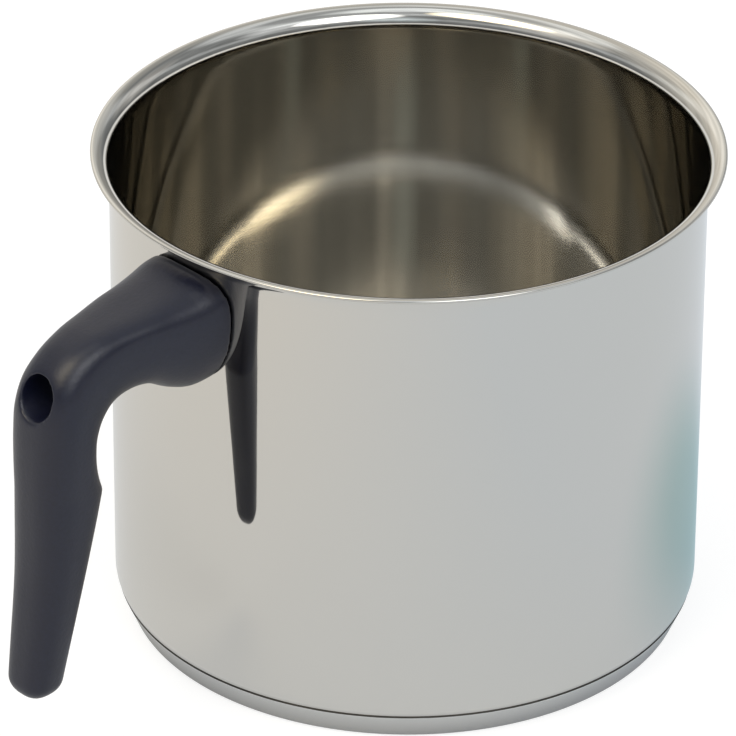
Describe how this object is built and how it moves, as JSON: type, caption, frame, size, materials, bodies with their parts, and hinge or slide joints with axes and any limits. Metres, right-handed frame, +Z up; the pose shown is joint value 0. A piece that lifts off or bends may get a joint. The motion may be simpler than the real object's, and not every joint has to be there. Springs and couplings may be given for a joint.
{
  "type": "milk pan",
  "caption": "Deep straight-sided stainless steel milk pan with a rolled pouring rim, a sandwich base and one black hanging side handle on a steel bracket.",
  "frame": {"origin": "centre of the base's underside, on the vessel's axis, where the pan stands on the hob", "axes": "+Z up along the vessel's axis; the handle leaves the wall along -X; +Y completes the right hand"},
  "size_m": [0.1998, 0.1502, 0.122],
  "materials": {
    "vessel_steel": "mirror polished outside, satin inside",
    "cap_steel": "polished",
    "core_aluminium": "raw sheet",
    "phenolic": "moulded phenolic resin, low gloss",
    "bracket_steel": "stamped sheet",
    "bush_steel": "turned",
    "screw_steel": "plated"
  },
  "bodies": {
    "root": {"pan_body": "vessel_steel", "base_cap": "cap_steel", "base_core": "core_aluminium", "handle": "phenolic", "handle_bracket": "bracket_steel", "bracket_bush": "bush_steel", "handle_screw": "screw_steel", "spring_washer": "screw_steel"}
  },
  "joints": []
}
